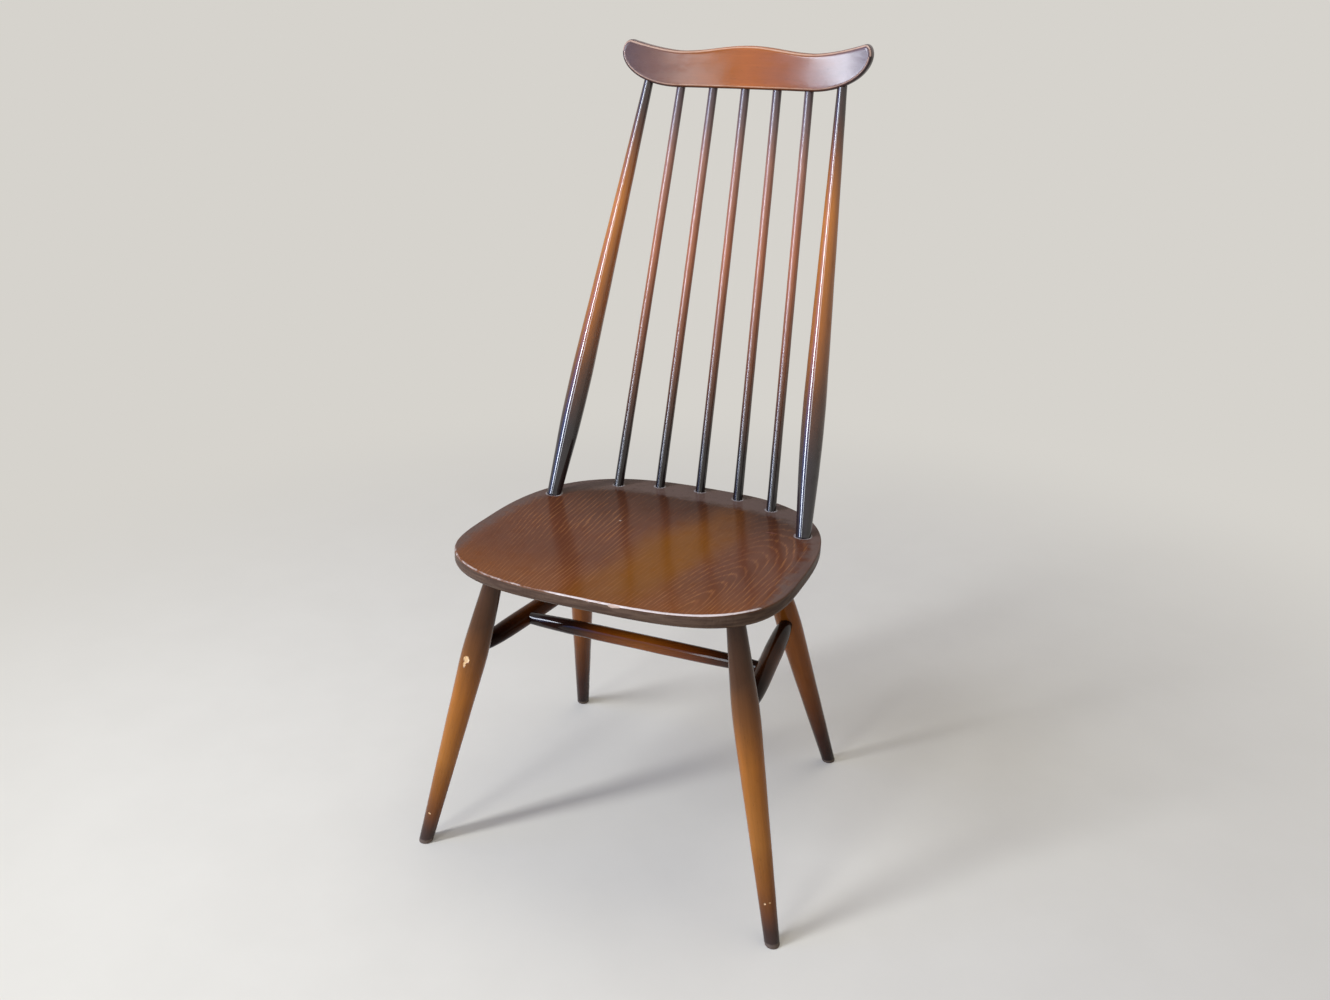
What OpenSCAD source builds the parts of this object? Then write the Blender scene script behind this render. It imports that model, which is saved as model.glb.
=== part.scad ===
// Tall spindle-back side chair: a saddled seat on four splayed turned legs,
// with two tapered back posts and five spindles carrying a shaped crest rail.
// Millimetres, +Z up, front facing -Y. Lengths along Y are given from the
// seat's widest line; the whole chair is then centred over the origin.

/* [Seat] */
// Height of the seat's rim above the floor, at the widest line
seat_h = 406; // [330:1:500]
// Width of the seat across its widest line
seat_w = 418; // [345:1:505]
// Distance from the widest line to the front edge
seat_front_d = 160; // [130:1:200]
// Distance from the widest line to the back edge
seat_back_d = 227; // [190:1:280]
// Thickness of the seat at its rim
seat_t = 22; // [19:0.5:32]
// Backward slope of the seat in degrees
seat_slope = 2.3; // [0:0.1:5]
// Squareness of the front half of the outline, 2 being an ellipse
seat_front_n = 3.3; // [2.2:0.1:4]
// Squareness of the back half of the outline
seat_back_n = 2.75; // [2.2:0.05:4]
// Rounding of the upper edge
seat_arris_r = 1.5; // [0.5:0.5:3]
// Width of the rounding under the lower edge
seat_edge_w = 13; // [3:0.5:16]
// Height of the rounding under the lower edge
seat_edge_h = 11; // [3:0.5:14]

/* [Saddle] */
// Greatest depth of the saddle hollowed into the seat
saddle_depth = 7; // [2:0.5:9]
// Width of the flat rim left beside the saddle
saddle_rim_w = 22; // [15:1:40]
// Width of the flat rim left behind the saddle
saddle_back_w = 59; // [42:1:100]
// Distance from the widest line at which the saddle would run out in front
saddle_front_d = 213; // [150:1:300]
// Squareness of the saddle's outline
saddle_n = 3.2; // [2:0.1:4]

/* [Legs] */
// Front legs at the seat, distance in from the seat's widest edge
front_leg_in = 58.5; // [45:0.5:90]
// Front legs at the seat, distance behind the seat's front edge
front_leg_behind = 87; // [70:1:110]
// Back legs at the seat, distance in from the seat's widest edge
back_leg_in = 79; // [70:0.5:105]
// Back legs at the seat, distance in front of the seat's back edge
back_leg_ahead = 119; // [105:1:140]
// Sideways splay of a front leg, from the seat to the floor
front_splay_out = 86; // [50:1:110]
// Forward splay of a front leg
front_splay_fore = 74; // [40:1:100]
// Sideways splay of a back leg
back_splay_out = 68; // [40:1:90]
// Backward splay of a back leg
back_splay_aft = 128; // [80:1:150]
// Diameter of a leg at the floor
leg_foot_dia = 17.5; // [14:0.5:24]
// Diameter of a leg at its thickest part, where the side stretcher enters
leg_bulb_dia = 32.5; // [28:0.5:42]
// Diameter of a leg where it enters the seat
leg_neck_dia = 20.5; // [17:0.1:26]
// Depth of a leg's round tenon in the seat
leg_tenon_l = 14; // [8:0.5:15]

/* [Stretchers] */
// Drop of the side stretchers below the seat's rim at the front legs
stretcher_front_drop = 135; // [100:1:200]
// Drop of the side stretchers below the seat's rim at the back legs
stretcher_back_drop = 143; // [100:1:200]
// Diameter of a side stretcher in the middle
side_mid_dia = 24.5; // [22:0.5:32]
// Diameter of a side stretcher's ends
side_end_dia = 17; // [13:0.1:21]
// Depth of a side stretcher's end in the leg, from the leg's axis
side_end_past_axis = 3; // [0:0.5:5]
// Place of the cross stretcher along the side stretchers, from the front
cross_at = 105; // [60:1:160]
// Diameter of the cross stretcher in the middle
cross_mid_dia = 20; // [16:0.5:28]
// Diameter of the cross stretcher's ends
cross_end_dia = 15.5; // [12:0.5:18]
// Depth of the cross stretcher's end past the side stretcher's axis
cross_end_past_axis = 1; // [0:0.5:3]

/* [Back posts] */
// Back posts on the seat, distance in from the seat's widest edge
post_in = 35.5; // [32:0.5:60]
// Back posts on the seat, distance in front of the seat's back edge
post_ahead = 112; // [100:1:150]
// Diameter of a post at the seat
post_base_dia = 19; // [15:0.5:23]
// Diameter that a post swells to
post_bulb_dia = 29.5; // [24:0.5:36]
// Diameter of a post under the crest rail
post_top_dia = 12.5; // [11:0.1:15]
// Height of a post's thickest part above the seat, along the post
post_bulb_h = 128; // [60:1:220]

/* [Spindles] */
// Radius of the arc on which the spindles stand on the seat
spindle_arc_r = 240; // [200:1:400]
// Distance of the centre spindle in front of the seat's back edge
spindle_ahead = 17; // [15:1:32]
// Angle between neighbouring spindles on that arc
spindle_step = 13.6; // [10:0.1:16]
// Diameter of a spindle at the seat
spindle_base_dia = 12.8; // [9:0.1:14]
// Diameter of a spindle under the crest rail
spindle_top_dia = 11.6; // [10:0.1:13]
// Depth of the posts and spindles in the seat
back_tenon_l = 14; // [8:0.5:15]

/* [Crest rail] */
// Rise of the crest rail's lower edge above the seat's rim
crest_rise = 502.5; // [400:0.5:600]
// Distance of that lower edge behind the seat's back edge
crest_behind = 116; // [80:1:160]
// Length of the crest rail past the middle of each post
crest_past_post = 36.2; // [30:0.1:60]
// Thickness of the crest rail
crest_t = 18; // [17:0.5:24]
// Backward lean of the crest rail in degrees
crest_lean = 15; // [8:0.5:20]
// Radius to which the crest rail is curved in plan
crest_plan_r = 650; // [450:10:2000]
// Height of the crest rail at its centre
crest_mid_h = 52; // [46:0.5:80]
// Height of the crest rail at the two dips in its top edge
crest_dip_h = 44.7; // [38:0.5:60]
// Height of the tips of its raised ends above the lower edge
crest_tip_h = 57.5; // [48:0.5:90]
// Distance of the dips from the centre
crest_dip_d = 88; // [60:1:110]
// Length over which the lower edge sweeps up to each end
crest_sweep_l = 77; // [50:1:100]
// Height to which it sweeps up
crest_sweep_h = 44; // [30:0.5:50]
// Length of the rounded nose at each tip
crest_nose_l = 10; // [5:0.5:20]
// Rounding of the crest rail's long edges
crest_edge_r = 5; // [2:0.5:8]
// Spacing of the posts and spindles along the crest rail
crest_step = 43.6; // [36:0.1:48]
// Depth at which posts and spindles step down inside the crest rail
crest_entry = 5; // [3:0.5:8]
// Diameter of the tenons in the crest rail
crest_tenon_dia = 9.5; // [7:0.5:10]
// Depth of the tenons beyond that step
crest_tenon_l = 13; // [8:0.5:16]

/* [Fit] */
// Radial clearance of a round tenon in its socket
fit = 0.1; // [0.05:0.05:0.2]
// Space left past the end of a tenon in its blind socket
end_gap = 1; // [0.5:0.5:1.5]

/* [Hidden] */

LEFT = -1;
RIGHT = 1;
round_fn = 64;
seam_turn = 135;
outline_steps = 72;
blend_steps = 8;
swell_steps = 12;
swell_power = 4;
corner_points = 5;
seat_arris_steps = 3;
seat_edge_steps = 5;
saddle_power = 2.6;
seat_rings = [0.2, 0.36, 0.5, 0.62, 0.72, 0.8, 0.87, 0.93, 0.97];
crest_steps = 46;
crest_last_angle = 86;
crest_tip_power = 1.6;
crest_flat_left = 0.98;
leg_blend = 28;
post_blend = 60;
bulb_overshoot = 0.09;
leg_overrun = 30;
mouth_spare = 1;
up = [0, 0, 1];
dark_wood = [0.20, 0.09, 0.05];
amber_wood = [0.42, 0.20, 0.08];
seat_wood = [0.32, 0.14, 0.07];

// Numbered from the left; the posts stand one step outside the outer spindles
spindles = 5;
middle_spindle = (spindles + 1) / 2;
post_steps = middle_spindle;

crest_h = seat_h + crest_rise;
crest_d = seat_back_d + crest_behind;
crest_l = 2 * (post_steps * crest_step + crest_past_post);

// The chair is centred between its front edge and its rearmost point.
front_y = from_seat([0, -seat_front_d, seat_edge_h - seat_t])[1];
crest_top_back_y = crest_d + crest_mid_h * sin(crest_lean) + crest_t / 2 * cos(crest_lean);
origin_y = (front_y + crest_top_back_y) / 2;

// ---- frames and points ----

// A point of the seat's own frame, whose origin lies on the rim's plane
function from_seat(p) = [
    p[0],
    p[1] * cos(seat_slope) + p[2] * sin(seat_slope),
    seat_h - p[1] * sin(seat_slope) + p[2] * cos(seat_slope)
];

// Place of a leg on the seat, seen from above
function leg_place(side, front) =
    [side * (seat_w / 2 - (front ? front_leg_in : back_leg_in)),
     front ? front_leg_behind - seat_front_d : seat_back_d - back_leg_ahead];

function leg_top(side, front) =
    let (p = leg_place(side, front))
    from_seat([p[0], p[1], -seat_t]);

function foot_point(side, front) =
    let (p = leg_place(side, front))
    [p[0] + side * (front ? front_splay_out : back_splay_out),
     p[1] + (front ? -front_splay_fore : back_splay_aft),
     0];

function at_height(a, b, h) = a + (b - a) * (h - a[2]) / (b[2] - a[2]);

function stretcher_end(side, front) =
    at_height(foot_point(side, front), leg_top(side, front),
              seat_h - (front ? stretcher_front_drop : stretcher_back_drop));

function towards(a, b, distance) = a + (b - a) * distance / norm(b - a);

// Angle between the line a-b and a direction of length 1
function lean(a, b, dir) = acos(abs((b - a) * dir) / norm(b - a));

// Straight length that a round end of radius r needs to clear a face it meets at that lean
function mouth_l(r, angle) = r * tan(angle) + mouth_spare;

function cross_point(side) =
    towards(stretcher_end(side, true), stretcher_end(side, false), cross_at);

function post_base(side) =
    from_seat([side * (seat_w / 2 - post_in), seat_back_d - post_ahead, 0]);

function spindle_angle(i) = (i - middle_spindle) * spindle_step;

function spindle_base(i) = from_seat([
    spindle_arc_r * sin(spindle_angle(i)),
    seat_back_d - spindle_ahead - spindle_arc_r * (1 - cos(spindle_angle(i))),
    0]);

// ---- crest rail outline: heights above the lower edge, along the length x ----

crest_half = crest_l / 2;
crest_tip_x = crest_half - crest_nose_l;
crest_flat_x = crest_half - crest_sweep_l;

function quarter_drop(s) = 1 - sqrt(max(0, 1 - s * s));

function crest_low(x) =
    crest_sweep_h * quarter_drop(max(0, abs(x) - crest_flat_x) / crest_sweep_l);

function crest_high(x) =
    abs(x) < crest_dip_d
    ? (crest_mid_h + crest_dip_h) / 2
        + (crest_mid_h - crest_dip_h) / 2 * cos(180 * x / crest_dip_d)
    : abs(x) < crest_tip_x
    ? crest_dip_h + (crest_tip_h - crest_dip_h)
        * pow((abs(x) - crest_dip_d) / (crest_tip_x - crest_dip_d), crest_tip_power)
    : crest_tip_h - (crest_tip_h - crest_sweep_h)
        * quarter_drop((abs(x) - crest_tip_x) / crest_nose_l);

function crest_thick(x) =
    crest_t * (1 - quarter_drop(max(0, abs(x) - crest_half + crest_t / 2) / (crest_t / 2)));

// A point of the rail at length x, height h and distance off behind its middle surface
function crest_point(x, h, off = 0) = [
    x,
    crest_d - (crest_plan_r - sqrt(crest_plan_r * crest_plan_r - x * x))
        + h * tan(crest_lean) + off / cos(crest_lean),
    crest_h + h
];

// A point on the middle of the rail's lower edge
function back_top(x) = crest_point(x, crest_low(x));

function post_top(side) = back_top(side * post_steps * crest_step);

function spindle_top(i) = back_top((i - middle_spindle) * crest_step);

// ---- turned pieces ----

// Places children so that their +Z runs from a towards b
module along(a, b) {
    d = b - a;
    translate(a)
        rotate([0, acos(d[2] / norm(d)), atan2(d[1], d[0])])
            children();
}

// Points of a curve that rounds the corner at b between a and c
function blend(a, b, c) = [
    for (i = [0 : blend_steps])
        let (u = i / blend_steps)
            a * (1 - u) * (1 - u) + b * 2 * u * (1 - u) + c * u * u];

// Half outline, [radius, height], of a piece that tapers both ways from a bulb
function bulb_profile(low, bulb, high, reach) =
    let (peak = [bulb[0] + (bulb[0] - max(low[0], high[0])) * bulb_overshoot, bulb[1]])
    concat([low], blend(towards(peak, low, reach), peak, towards(peak, high, reach)), [high]);

// Half outline of a piece that swells between two equal ends
function swell_profile(end_r, mid_r, length) = [
    for (i = [0 : swell_steps])
        let (u = 2 * i / swell_steps - 1)
            [end_r + (mid_r - end_r) * (1 - pow(abs(u), swell_power)), length * i / swell_steps]];

module turned(profile) {
    first = profile[0];
    last = profile[len(profile) - 1];
    rotate([0, 0, seam_turn])
        rotate_extrude($fn = round_fn)
            polygon(concat([[0, first[1]]], profile, [[0, last[1]]]));
}

// ---- legs ----

module leg(side, front) {
    foot = foot_point(side, front);
    top = leg_top(side, front);
    joint = stretcher_end(side, front);
    slope = (leg_bulb_dia - leg_foot_dia) / 2 / norm(joint - foot);
    start = towards(foot, top, -leg_overrun);
    neck_r = leg_neck_dia / 2;
    seat_z = norm(top - start);
    neck_z = seat_z - mouth_l(neck_r, lean(foot, top, up) + seat_slope);
    color(dark_wood)
        difference() {
            along(start, top)
                turned(concat(
                    bulb_profile([leg_foot_dia / 2 - slope * leg_overrun, 0],
                                 [leg_bulb_dia / 2, norm(joint - start)],
                                 [neck_r, neck_z], leg_blend),
                    [[neck_r, seat_z + leg_tenon_l]]));
            translate([-seat_w, -seat_w, -2 * leg_overrun])
                cube([2 * seat_w, 2 * seat_w, 2 * leg_overrun]);
            side_stretcher_socket(side, front);
        }
}

module leg_socket(side, front) {
    top = leg_top(side, front);
    from = towards(top, foot_point(side, front), leg_tenon_l);
    along(from, top)
        cylinder(d = leg_neck_dia + 2 * fit, h = 2 * leg_tenon_l + end_gap, $fn = round_fn);
}

// ---- stretchers ----

side_leg_r = leg_bulb_dia / 2;

module side_stretcher(side) {
    a = stretcher_end(side, true);
    b = stretcher_end(side, false);
    leg_dir = (leg_top(side, false) - b) / norm(leg_top(side, false) - b);
    mouth = side_leg_r + mouth_l(side_end_dia / 2, 90 - lean(a, b, leg_dir));
    reach = mouth + side_end_past_axis;
    span = norm(b - a) - 2 * mouth;
    color(amber_wood)
        difference() {
            along(towards(a, b, -side_end_past_axis), b)
                turned(concat(
                    [[side_end_dia / 2, 0]],
                    [for (p = swell_profile(side_end_dia / 2, side_mid_dia / 2, span))
                        [p[0], p[1] + reach]],
                    [[side_end_dia / 2, span + 2 * reach]]));
            cross_socket(side);
        }
}

module side_stretcher_socket(side, front) {
    a = stretcher_end(side, front);
    b = stretcher_end(side, !front);
    along(towards(a, b, -side_end_past_axis - end_gap), b)
        cylinder(d = side_end_dia + 2 * fit, h = leg_bulb_dia, $fn = round_fn);
}

module cross_solid() {
    a = cross_point(LEFT);
    b = cross_point(RIGHT);
    side_dir = (stretcher_end(LEFT, false) - a) / norm(stretcher_end(LEFT, false) - a);
    mouth = side_mid_dia / 2 + mouth_l(cross_end_dia / 2, 90 - lean(a, b, side_dir));
    reach = mouth + cross_end_past_axis;
    span = norm(b - a) - 2 * mouth;
    color(amber_wood)
        along(towards(a, b, -cross_end_past_axis), b)
            turned(concat(
                [[cross_end_dia / 2, 0]],
                [for (p = swell_profile(cross_end_dia / 2, cross_mid_dia / 2, span))
                    [p[0], p[1] + reach]],
                [[cross_end_dia / 2, span + 2 * reach]]));
}

module cross_socket(side) {
    a = cross_point(side);
    b = cross_point(-side);
    along(towards(a, b, -cross_end_past_axis - end_gap), b)
        cylinder(d = cross_end_dia + 2 * fit, h = side_mid_dia, $fn = round_fn);
}

// ---- back posts and spindles ----

// Half outline of the stepped end that goes into the crest rail
function crest_end(dia, length) = [
    [dia / 2, length + crest_entry],
    [crest_tenon_dia / 2, length + crest_entry],
    [crest_tenon_dia / 2, length + crest_entry + crest_tenon_l]];

module back_post(side) {
    a = post_base(side);
    b = post_top(side);
    length = norm(b - a);
    base_r = post_base_dia / 2;
    color(amber_wood)
        along(a, b)
            turned(concat(
                [[base_r, -back_tenon_l]],
                bulb_profile([base_r, mouth_l(base_r, lean(a, b, up) + seat_slope)],
                             [post_bulb_dia / 2, post_bulb_h],
                             [post_top_dia / 2, length], post_blend),
                crest_end(post_top_dia, length)));
}

module back_spindle(i) {
    a = spindle_base(i);
    b = spindle_top(i);
    color(dark_wood)
        along(a, b)
            turned(concat([[spindle_base_dia / 2, -back_tenon_l], [spindle_base_dia / 2, 0]],
                          [[spindle_top_dia / 2, norm(b - a)]],
                          crest_end(spindle_top_dia, norm(b - a))));
}

// Socket in the seat for a piece of diameter dia that stands at a and leans to b
module seat_socket(a, b, dia) {
    depth = back_tenon_l + end_gap;
    along(towards(a, b, -depth), b)
        cylinder(d = dia + 2 * fit, h = 2 * depth, $fn = round_fn);
}

// Stepped socket in the crest rail for the same piece
module crest_socket(a, b, dia) {
    along(b, b + (b - a)) {
        translate([0, 0, -crest_t])
            cylinder(d = dia + 2 * fit, h = crest_t + crest_entry + fit, $fn = round_fn);
        cylinder(d = crest_tenon_dia + 2 * fit, h = crest_entry + crest_tenon_l + end_gap,
                 $fn = round_fn);
    }
}

// ---- seat ----

function signed_pow(v, e) = sign(v) * pow(abs(v), e);

// A point of the seat's outline at angle t, moved in by inset
function outline(t, inset) =
    let (back = sin(t) >= 0)
    let (e = 2 / (back ? seat_back_n : seat_front_n))
    [(seat_w / 2 - inset) * signed_pow(cos(t), e),
     ((back ? seat_back_d : seat_front_d) - inset) * signed_pow(sin(t), e)];

// Depth of the saddle at a point of the seat
function saddle(x, y) =
    let (across = abs(x) / (seat_w / 2 - saddle_rim_w))
    let (lengthways = y > 0 ? y / (seat_back_d - saddle_back_w) : -y / saddle_front_d)
    let (away = pow(pow(across, saddle_n) + pow(lengthways, saddle_n), 1 / saddle_n))
    saddle_depth * max(0, 1 - pow(away, saddle_power));

// One ring of the seat's skin: share of the outline, inset, drop below the saddled top
function seat_ring(share, inset, drop) = [
    for (i = [0 : outline_steps - 1])
        let (p = outline(i * 360 / outline_steps, inset) * share)
            [p[0], p[1], -saddle(p[0], p[1]) - drop]];

// The same at a fixed height z
function seat_level_ring(inset, z) = [
    for (i = [0 : outline_steps - 1])
        let (p = outline(i * 360 / outline_steps, inset))
            [p[0], p[1], z]];

module seat_body() {
    top = [for (s = seat_rings) seat_ring(s, seat_arris_r, 0)];
    arris = [
        for (i = [0 : seat_arris_steps - 1])
            let (t = 90 * i / seat_arris_steps)
                seat_ring(1, seat_arris_r * (1 - sin(t)), seat_arris_r * (1 - cos(t)))];
    side = [seat_ring(1, 0, seat_arris_r)];
    edge = [
        for (i = [0 : seat_edge_steps])
            let (t = 90 * i / seat_edge_steps)
                seat_level_ring(seat_edge_w * (1 - cos(t)),
                                -seat_t + seat_edge_h * (1 - sin(t)))];
    rings = concat(top, arris, side, edge);
    n = outline_steps;
    last = (len(rings) - 1) * n;
    centre = len(rings) * n;
    points = concat([for (r = rings) for (p = r) p], [[0, 0, -saddle(0, 0)]]);
    polyhedron(points, concat(
        [for (i = [0 : n - 1]) [centre, (i + 1) % n, i]],
        [for (r = [0 : len(rings) - 2])
            for (i = [0 : n - 1])
                let (j = (i + 1) % n)
                    [r * n + i, r * n + j, (r + 1) * n + i]],
        [for (r = [0 : len(rings) - 2])
            for (i = [0 : n - 1])
                let (j = (i + 1) % n)
                    [r * n + j, (r + 1) * n + j, (r + 1) * n + i]],
        [[for (i = [0 : n - 1]) last + i]]));
}

module seat_solid() {
    color(seat_wood)
        difference() {
            translate([0, 0, seat_h])
                rotate([-seat_slope, 0, 0])
                    seat_body();
            for (side = [LEFT, RIGHT]) {
                leg_socket(side, true);
                leg_socket(side, false);
                seat_socket(post_base(side), post_top(side), post_base_dia);
            }
            for (i = [1 : spindles])
                seat_socket(spindle_base(i), spindle_top(i), spindle_base_dia);
        }
}

// ---- crest rail ----

// Section at length x: a rectangle with rounded corners, from low to high
function crest_section(x) =
    let (low = crest_low(x), high = crest_high(x), half = crest_thick(x) / 2)
    let (r = min(crest_edge_r, half * crest_flat_left, (high - low) / 2 * crest_flat_left))
    [for (corner = [0 : 3])
        for (k = [0 : corner_points - 1])
            let (t = 90 * corner + 90 * k / (corner_points - 1))
            let (u = half - r, mid = (low + high) / 2, v = (high - low) / 2 - r)
                crest_point(x,
                    mid + (corner < 2 ? v : -v) + r * sin(t),
                    (corner == 0 || corner == 3 ? u : -u) + r * cos(t))];

module crest_body() {
    n = 4 * corner_points;
    sections = [
        for (i = [0 : crest_steps])
            crest_section(crest_half * sin(crest_last_angle * (2 * i / crest_steps - 1)))];
    points = [for (s = sections) for (p = s) p];
    polyhedron(points, concat(
        [[for (k = [n - 1 : -1 : 0]) k]],
        [[for (k = [0 : n - 1]) crest_steps * n + k]],
        [for (i = [0 : crest_steps - 1])
            for (k = [0 : n - 1])
                [i * n + k, i * n + (k + 1) % n, (i + 1) * n + k]],
        [for (i = [0 : crest_steps - 1])
            for (k = [0 : n - 1])
                [i * n + (k + 1) % n, (i + 1) * n + (k + 1) % n, (i + 1) * n + k]]));
}

module crest_solid() {
    color(amber_wood)
        difference() {
            crest_body();
            for (side = [LEFT, RIGHT])
                crest_socket(post_base(side), post_top(side), post_top_dia);
            for (i = [1 : spindles])
                crest_socket(spindle_base(i), spindle_top(i), spindle_top_dia);
        }
}

// ---- the pieces, centred over the origin ----

module centred() {
    translate([0, -origin_y, 0])
        children();
}

module seat() centred() seat_solid();
module leg_front_left() centred() leg(LEFT, true);
module leg_front_right() centred() leg(RIGHT, true);
module leg_back_left() centred() leg(LEFT, false);
module leg_back_right() centred() leg(RIGHT, false);
module side_stretcher_left() centred() side_stretcher(LEFT);
module side_stretcher_right() centred() side_stretcher(RIGHT);
module cross_stretcher() centred() cross_solid();
module back_post_left() centred() back_post(LEFT);
module back_post_right() centred() back_post(RIGHT);
module back_spindle_1() centred() back_spindle(1);
module back_spindle_2() centred() back_spindle(2);
module back_spindle_3() centred() back_spindle(3);
module back_spindle_4() centred() back_spindle(4);
module back_spindle_5() centred() back_spindle(5);
module crest_rail() centred() crest_solid();

seat();
leg_front_left();
leg_front_right();
leg_back_left();
leg_back_right();
side_stretcher_left();
side_stretcher_right();
cross_stretcher();
back_post_left();
back_post_right();
back_spindle_1();
back_spindle_2();
back_spindle_3();
back_spindle_4();
back_spindle_5();
crest_rail();
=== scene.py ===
import math

import bmesh
import bpy
import numpy as np
from mathutils import Matrix, Vector, noise


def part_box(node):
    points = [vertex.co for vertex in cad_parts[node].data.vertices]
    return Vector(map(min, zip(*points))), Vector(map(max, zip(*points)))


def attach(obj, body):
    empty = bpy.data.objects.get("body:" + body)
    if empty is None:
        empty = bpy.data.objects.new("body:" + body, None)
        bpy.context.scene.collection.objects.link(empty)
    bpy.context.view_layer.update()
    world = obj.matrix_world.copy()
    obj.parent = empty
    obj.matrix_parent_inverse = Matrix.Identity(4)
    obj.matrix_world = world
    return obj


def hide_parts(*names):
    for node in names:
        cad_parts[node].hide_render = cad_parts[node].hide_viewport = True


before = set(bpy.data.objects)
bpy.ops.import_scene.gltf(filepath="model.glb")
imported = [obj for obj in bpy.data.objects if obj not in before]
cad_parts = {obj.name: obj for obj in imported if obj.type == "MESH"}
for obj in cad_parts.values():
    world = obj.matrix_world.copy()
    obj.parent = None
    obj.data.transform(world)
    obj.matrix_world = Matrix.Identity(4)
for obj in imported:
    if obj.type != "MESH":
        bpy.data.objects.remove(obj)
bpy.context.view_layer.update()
print("frame loaded")


class Wire:
    # one socket, so that sums on it can be written out plainly
    def __init__(self, finish, socket):
        self.finish = finish
        self.socket = socket

    def sum(self, operation, first, second):
        return self.finish.node("Math", {"operation": operation}, {0: first, 1: second})

    def __add__(self, other):
        return self.sum("ADD", self, other)

    def __radd__(self, other):
        return self.sum("ADD", other, self)

    def __sub__(self, other):
        return self.sum("SUBTRACT", self, other)

    def __rsub__(self, other):
        return self.sum("SUBTRACT", other, self)

    def __mul__(self, other):
        return self.sum("MULTIPLY", self, other)

    def __rmul__(self, other):
        return self.sum("MULTIPLY", other, self)

    def __truediv__(self, other):
        return self.sum("DIVIDE", self, other)

    def __rtruediv__(self, other):
        return self.sum("DIVIDE", other, self)

    def __pow__(self, other):
        return self.sum("POWER", self, other)

    def __rpow__(self, other):
        return self.sum("POWER", other, self)


class Finish:
    # builds the nodes of one material or of the world
    def __init__(self, tree):
        self.tree = tree
        tree.nodes.clear()

    def node(self, kind, settings=None, sockets=None, out=0):
        made = self.tree.nodes.new("ShaderNode" + kind)
        for name, value in (settings or {}).items():
            if name == "stops":
                setStops(made.color_ramp, value)
            else:
                setattr(made, name, value)
        for name, value in (sockets or {}).items():
            if isinstance(value, Wire):
                self.tree.links.new(value.socket, made.inputs[name])
            else:
                made.inputs[name].default_value = value
        return Wire(self, made.outputs[out]) if made.outputs else None

    def larger(self, first, second):
        return self.node("Math", {"operation": "MAXIMUM"}, {0: first, 1: second})

    def greyed(self, level):
        return self.node("CombineXYZ", {}, {0: level, 1: level, 2: level})

    def blend(self, amount, under, over, how="MIX"):
        return self.node("Mix", {"data_type": "RGBA", "blend_type": how},
                         {0: amount, 6: under, 7: over}, out=2)

    def ramp(self, value, stops):
        return self.node("ValToRGB", {"stops": stops}, {0: value})

    def between(self, value, low, high):
        # 0 below low and 1 above high, with a smooth step
        return self.node("MapRange", {"interpolation_type": "SMOOTHSTEP"},
                         {"Value": value, "From Min": low, "From Max": high})

    def cloud(self, place, grain, detail, rough=0.5, shift=(0, 0, 0)):
        # soft noise, with as many lumps to the metre along each axis as grain says
        grown = self.node("VectorMath", {"operation": "MULTIPLY"}, {0: place, 1: grain})
        moved = self.node("VectorMath", {"operation": "ADD"}, {0: grown, 1: shift})
        return self.node("TexNoise", {}, {"Vector": moved, "Scale": 1.0,
                                          "Detail": detail, "Roughness": rough})

    def painted(self, name):
        # a value that the mesh code has left on the vertices
        return self.node("Attribute", {"attribute_name": name}, out=2)

    def place(self):
        # where a point lies in its own piece, left on the vertices by the mesh code
        return self.node("Attribute", {"attribute_name": "place"}, out=1)

    def parts(self, place):
        split = self.node("SeparateXYZ", {}, {0: place})
        outputs = split.socket.node.outputs
        return [Wire(self, outputs[i]) for i in range(3)]

    def bump(self, height, depth):
        return self.node("Bump", {}, {"Height": height, "Distance": depth, "Strength": 1.0})

    def surface(self, **sockets):
        named = {name.replace("_", " "): value for name, value in sockets.items()}
        return self.node("BsdfPrincipled", {}, named)

    def close(self, shader, kind="OutputMaterial"):
        self.node(kind, {}, {"Surface": shader})


def distance(x, y):
    # of a point on the surface from where x and y are 0
    return (x * x + y * y) ** 0.5


def setStops(ramp, stops):
    while len(ramp.elements) > 1:
        ramp.elements.remove(ramp.elements[-1])
    ramp.elements[0].position, ramp.elements[0].color = stops[0]
    for at, colour in stops[1:]:
        ramp.elements.new(at).color = colour


def tint(red, green, blue):
    # a colour as a screen shows it, 0 to 255, in linear light
    def linear(level):
        level = level / 255
        return level / 12.92 if level < 0.04045 else ((level + 0.055) / 1.055) ** 2.4
    return (linear(red), linear(green), linear(blue), 1.0)


def newFinish(name):
    material = bpy.data.materials.new(name)
    material.use_nodes = True
    return material, Finish(material.node_tree)


turnedLook = {
    "bare": tint(238, 206, 160),      # wood where the finish has gone
    "bareDark": tint(196, 150, 98),
    "bareEdge": (0.42, 0.56), "bareRagged": 0.22,
    "rubbed": tint(128, 112, 100),    # finish worn thin and grey
    "rubEdge": (0.35, 0.75), "rubRagged": 0.7, "rubShow": 0.55,
    "driftGrain": (14, 14, 9), "drift": 0.13,      # how far the sprayed bands wander
    "fibreGrain": (420, 420, 16), "fibreShade": 0.34,
    "streakGrain": (95, 95, 3.2), "streakShade": 0.46,
    "fleckGrain": (900, 900, 130), "fleckEdge": (0.62, 0.75), "fleckShade": 0.2,
    "scuffGrain": (60, 60, 26), "dullEdge": (0.5, 0.72), "dull": 0.35,
    "darkest": 0.62,                  # shade of the grain's darkest lines
    "rough": 0.36, "lacquer": 0.95, "grainDeep": 0.0001,
    "shift": (3.1, 1.7, 0.9),         # moves the grain on from one finish to the next
}


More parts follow.
